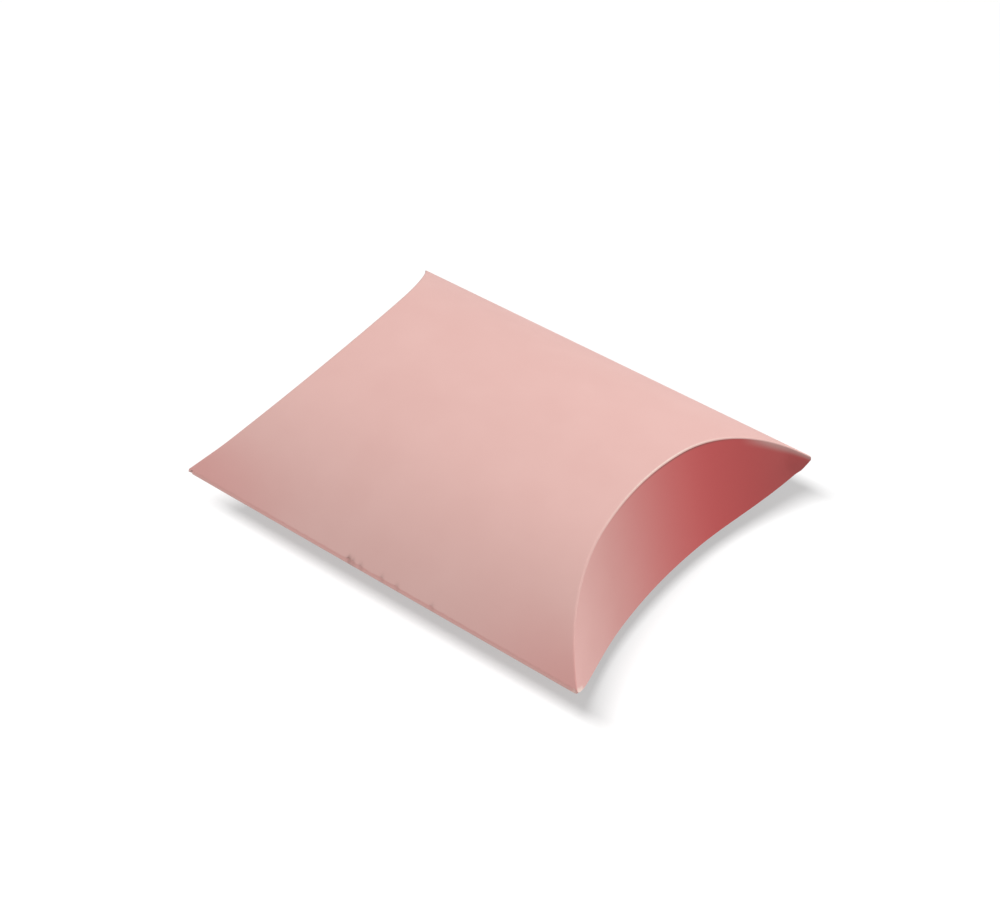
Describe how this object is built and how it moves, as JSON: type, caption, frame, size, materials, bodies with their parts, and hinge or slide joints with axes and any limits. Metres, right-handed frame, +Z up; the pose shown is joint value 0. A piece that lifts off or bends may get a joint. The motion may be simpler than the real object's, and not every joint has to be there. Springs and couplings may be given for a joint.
{
  "type": "pillow box",
  "caption": "Folded card pillow box: a lens-shaped sleeve closed at each end by concave flaps on curved creases, for a small gift.",
  "frame": {"origin": "middle of the belly strip that bears on the table", "axes": "+X along the side folds towards the front end, +Y across the box towards the clean side fold, +Z up"},
  "size_m": [0.0842, 0.0649, 0.0263],
  "materials": {
    "pink_card": "uncoated dyed folding card, matt",
    "creased_card": "the same card where it is scored and folded",
    "dried_glue": "dried dispersion adhesive"
  },
  "bodies": {
    "sleeve": {"top_panel": "pink_card", "bottom_panel": "pink_card", "side_fold": "creased_card", "seam_fold": "creased_card", "glue_tab": "pink_card", "glue_film": "dried_glue"},
    "front_outer": {"front_outer_flap": "pink_card"},
    "front_inner": {"front_inner_flap": "pink_card"},
    "rear_outer": {"rear_outer_flap": "pink_card"},
    "rear_inner": {"rear_inner_flap": "pink_card"}
  },
  "joints": [
    {"name": "front_outer_crease", "type": "hinge", "parent": "sleeve", "child": "front_outer", "pos_m": [0.0307, 0, 0.0263], "axis": [0, -1, 0], "range_deg": [0, 90]},
    {"name": "front_inner_crease", "type": "hinge", "parent": "sleeve", "child": "front_inner", "pos_m": [0.0307, 0, 0], "axis": [0, 1, 0], "range_deg": [0, 90]},
    {"name": "rear_outer_crease", "type": "hinge", "parent": "sleeve", "child": "rear_outer", "pos_m": [-0.0307, 0, 0.0263], "axis": [0, 1, 0], "range_deg": [0, 90]},
    {"name": "rear_inner_crease", "type": "hinge", "parent": "sleeve", "child": "rear_inner", "pos_m": [-0.0307, 0, 0], "axis": [0, -1, 0], "range_deg": [0, 90]}
  ],
  "couplings": [
    {"joint": "front_inner_crease", "follows": "front_outer_crease", "ratio": 1},
    {"joint": "rear_inner_crease", "follows": "rear_outer_crease", "ratio": 1}
  ]
}
